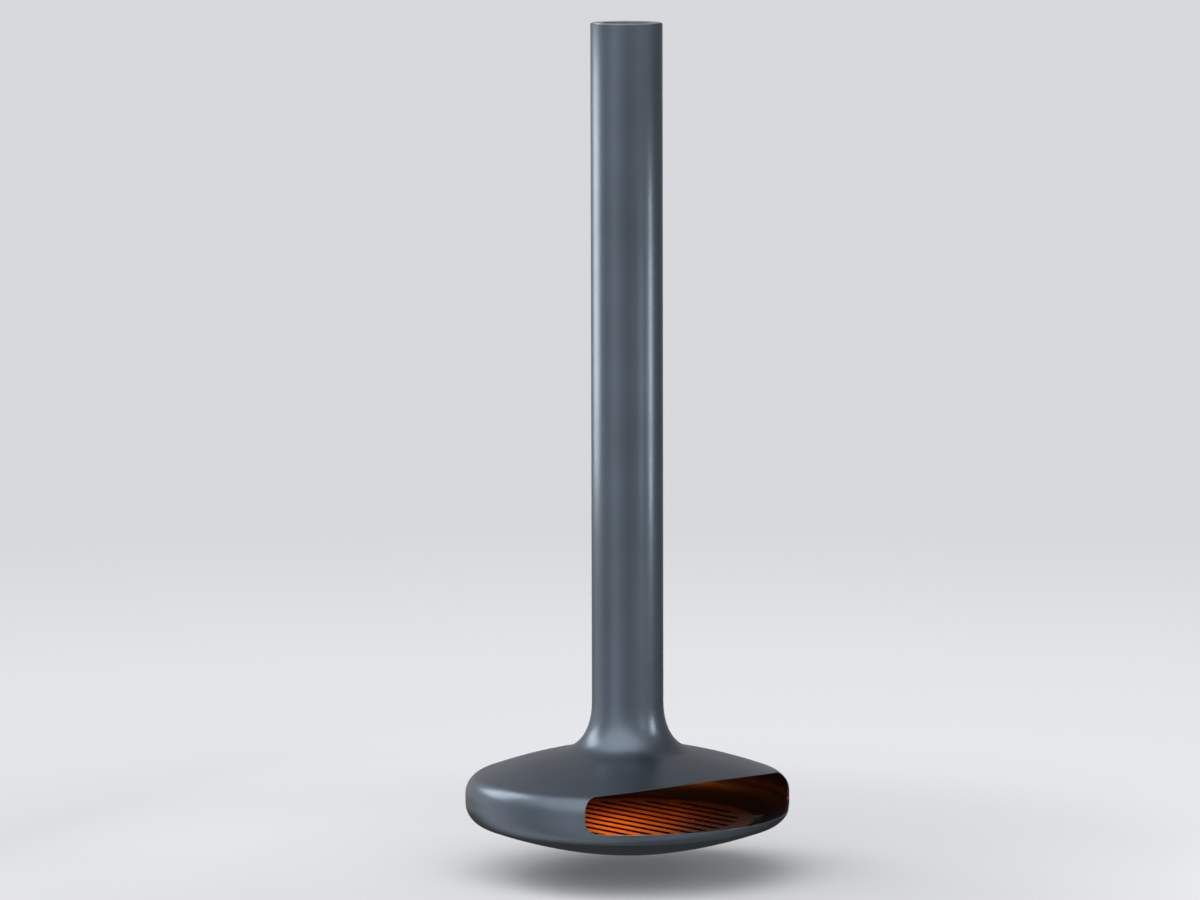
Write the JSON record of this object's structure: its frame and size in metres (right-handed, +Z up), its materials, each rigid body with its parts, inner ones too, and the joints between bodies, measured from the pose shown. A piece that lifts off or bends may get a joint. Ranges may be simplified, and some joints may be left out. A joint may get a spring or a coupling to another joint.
{
  "type": "suspended fireplace",
  "caption": "Ceiling-hung open fireplace: dished round hearth with a wide mouth, slotted plate over an ash pan, flared hood, damper, and a tall flue that turns on a ball race.",
  "frame": {"origin": "centre of the ceiling plate's top face, on the flue's axis, where the plate meets the ceiling", "axes": "+Z up along the flue's axis; -Y points out of the hearth's mouth; +X is to the right of someone who stands at the mouth and looks in"},
  "size_m": [1.25, 1.2446, 3.1665],
  "materials": {
    "satin_paint": "satin heat-proof blue-grey paint",
    "black_steel": "matt heat-blackened sheet steel",
    "zinc_steel": "satin zinc-plated steel",
    "cast_iron": "rough blackened cast iron",
    "ball_steel": "polished bearing steel",
    "bronze": "plain machined bronze",
    "mineral_rope": "braided mineral-fibre rope",
    "graphite": "matt graphite compound"
  },
  "bodies": {
    "ceiling_mount": {"ceiling_plate": "zinc_steel", "outlet_socket": "zinc_steel", "rope_seal": "mineral_rope", "drop_tube": "zinc_steel", "bearing_seat": "zinc_steel", "seat_screws": "zinc_steel", "bearing_balls": "ball_steel", "ball_cage": "bronze", "guide_ring": "graphite"},
    "hearth": {"turning_ring": "zinc_steel", "flue_liner": "black_steel", "spacer_rings": "zinc_steel", "flue_sleeve": "satin_paint", "coupling_collar": "black_steel", "throat_ring": "black_steel", "throat_gussets": "black_steel", "damper_bushes": "bronze", "hood_shell": "satin_paint", "bowl_shell": "satin_paint", "rim_backing_ring": "black_steel", "mouth_frame": "satin_paint", "support_ring": "black_steel", "support_brackets": "black_steel"},
    "damper": {"damper_flap": "cast_iron", "damper_spindle": "zinc_steel"},
    "pull_rod": {"rod_pin": "zinc_steel", "damper_rod": "zinc_steel", "damper_knob": "cast_iron"},
    "pan": {"ash_pan": "black_steel", "pan_handles": "zinc_steel"},
    "plate": {"hearth_plate": "cast_iron"}
  },
  "joints": [
    {"name": "hearth_turn", "type": "hinge", "parent": "ceiling_mount", "child": "hearth", "pos_m": [0, 0, 0], "axis": [0, 0, 1], "continuous": true},
    {"name": "damper_turn", "type": "hinge", "parent": "hearth", "child": "damper", "pos_m": [0, 0, -2.46988], "axis": [1, 0, 0], "range_deg": [0, 75]},
    {"name": "rod_swing", "type": "hinge", "parent": "damper", "child": "pull_rod", "pos_m": [0, -0.04, -2.46988], "axis": [1, 0, 0], "range_deg": [-75, 0]},
    {"name": "pan_lift", "type": "slide", "parent": "hearth", "child": "pan", "axis": [0, 0, 1], "range_m": [0, 0.05]},
    {"name": "plate_lift", "type": "slide", "parent": "pan", "child": "plate", "axis": [0, 0, 1], "range_m": [0, 0.05]}
  ],
  "couplings": [
    {"joint": "rod_swing", "follows": "damper_turn", "ratio": -1}
  ]
}
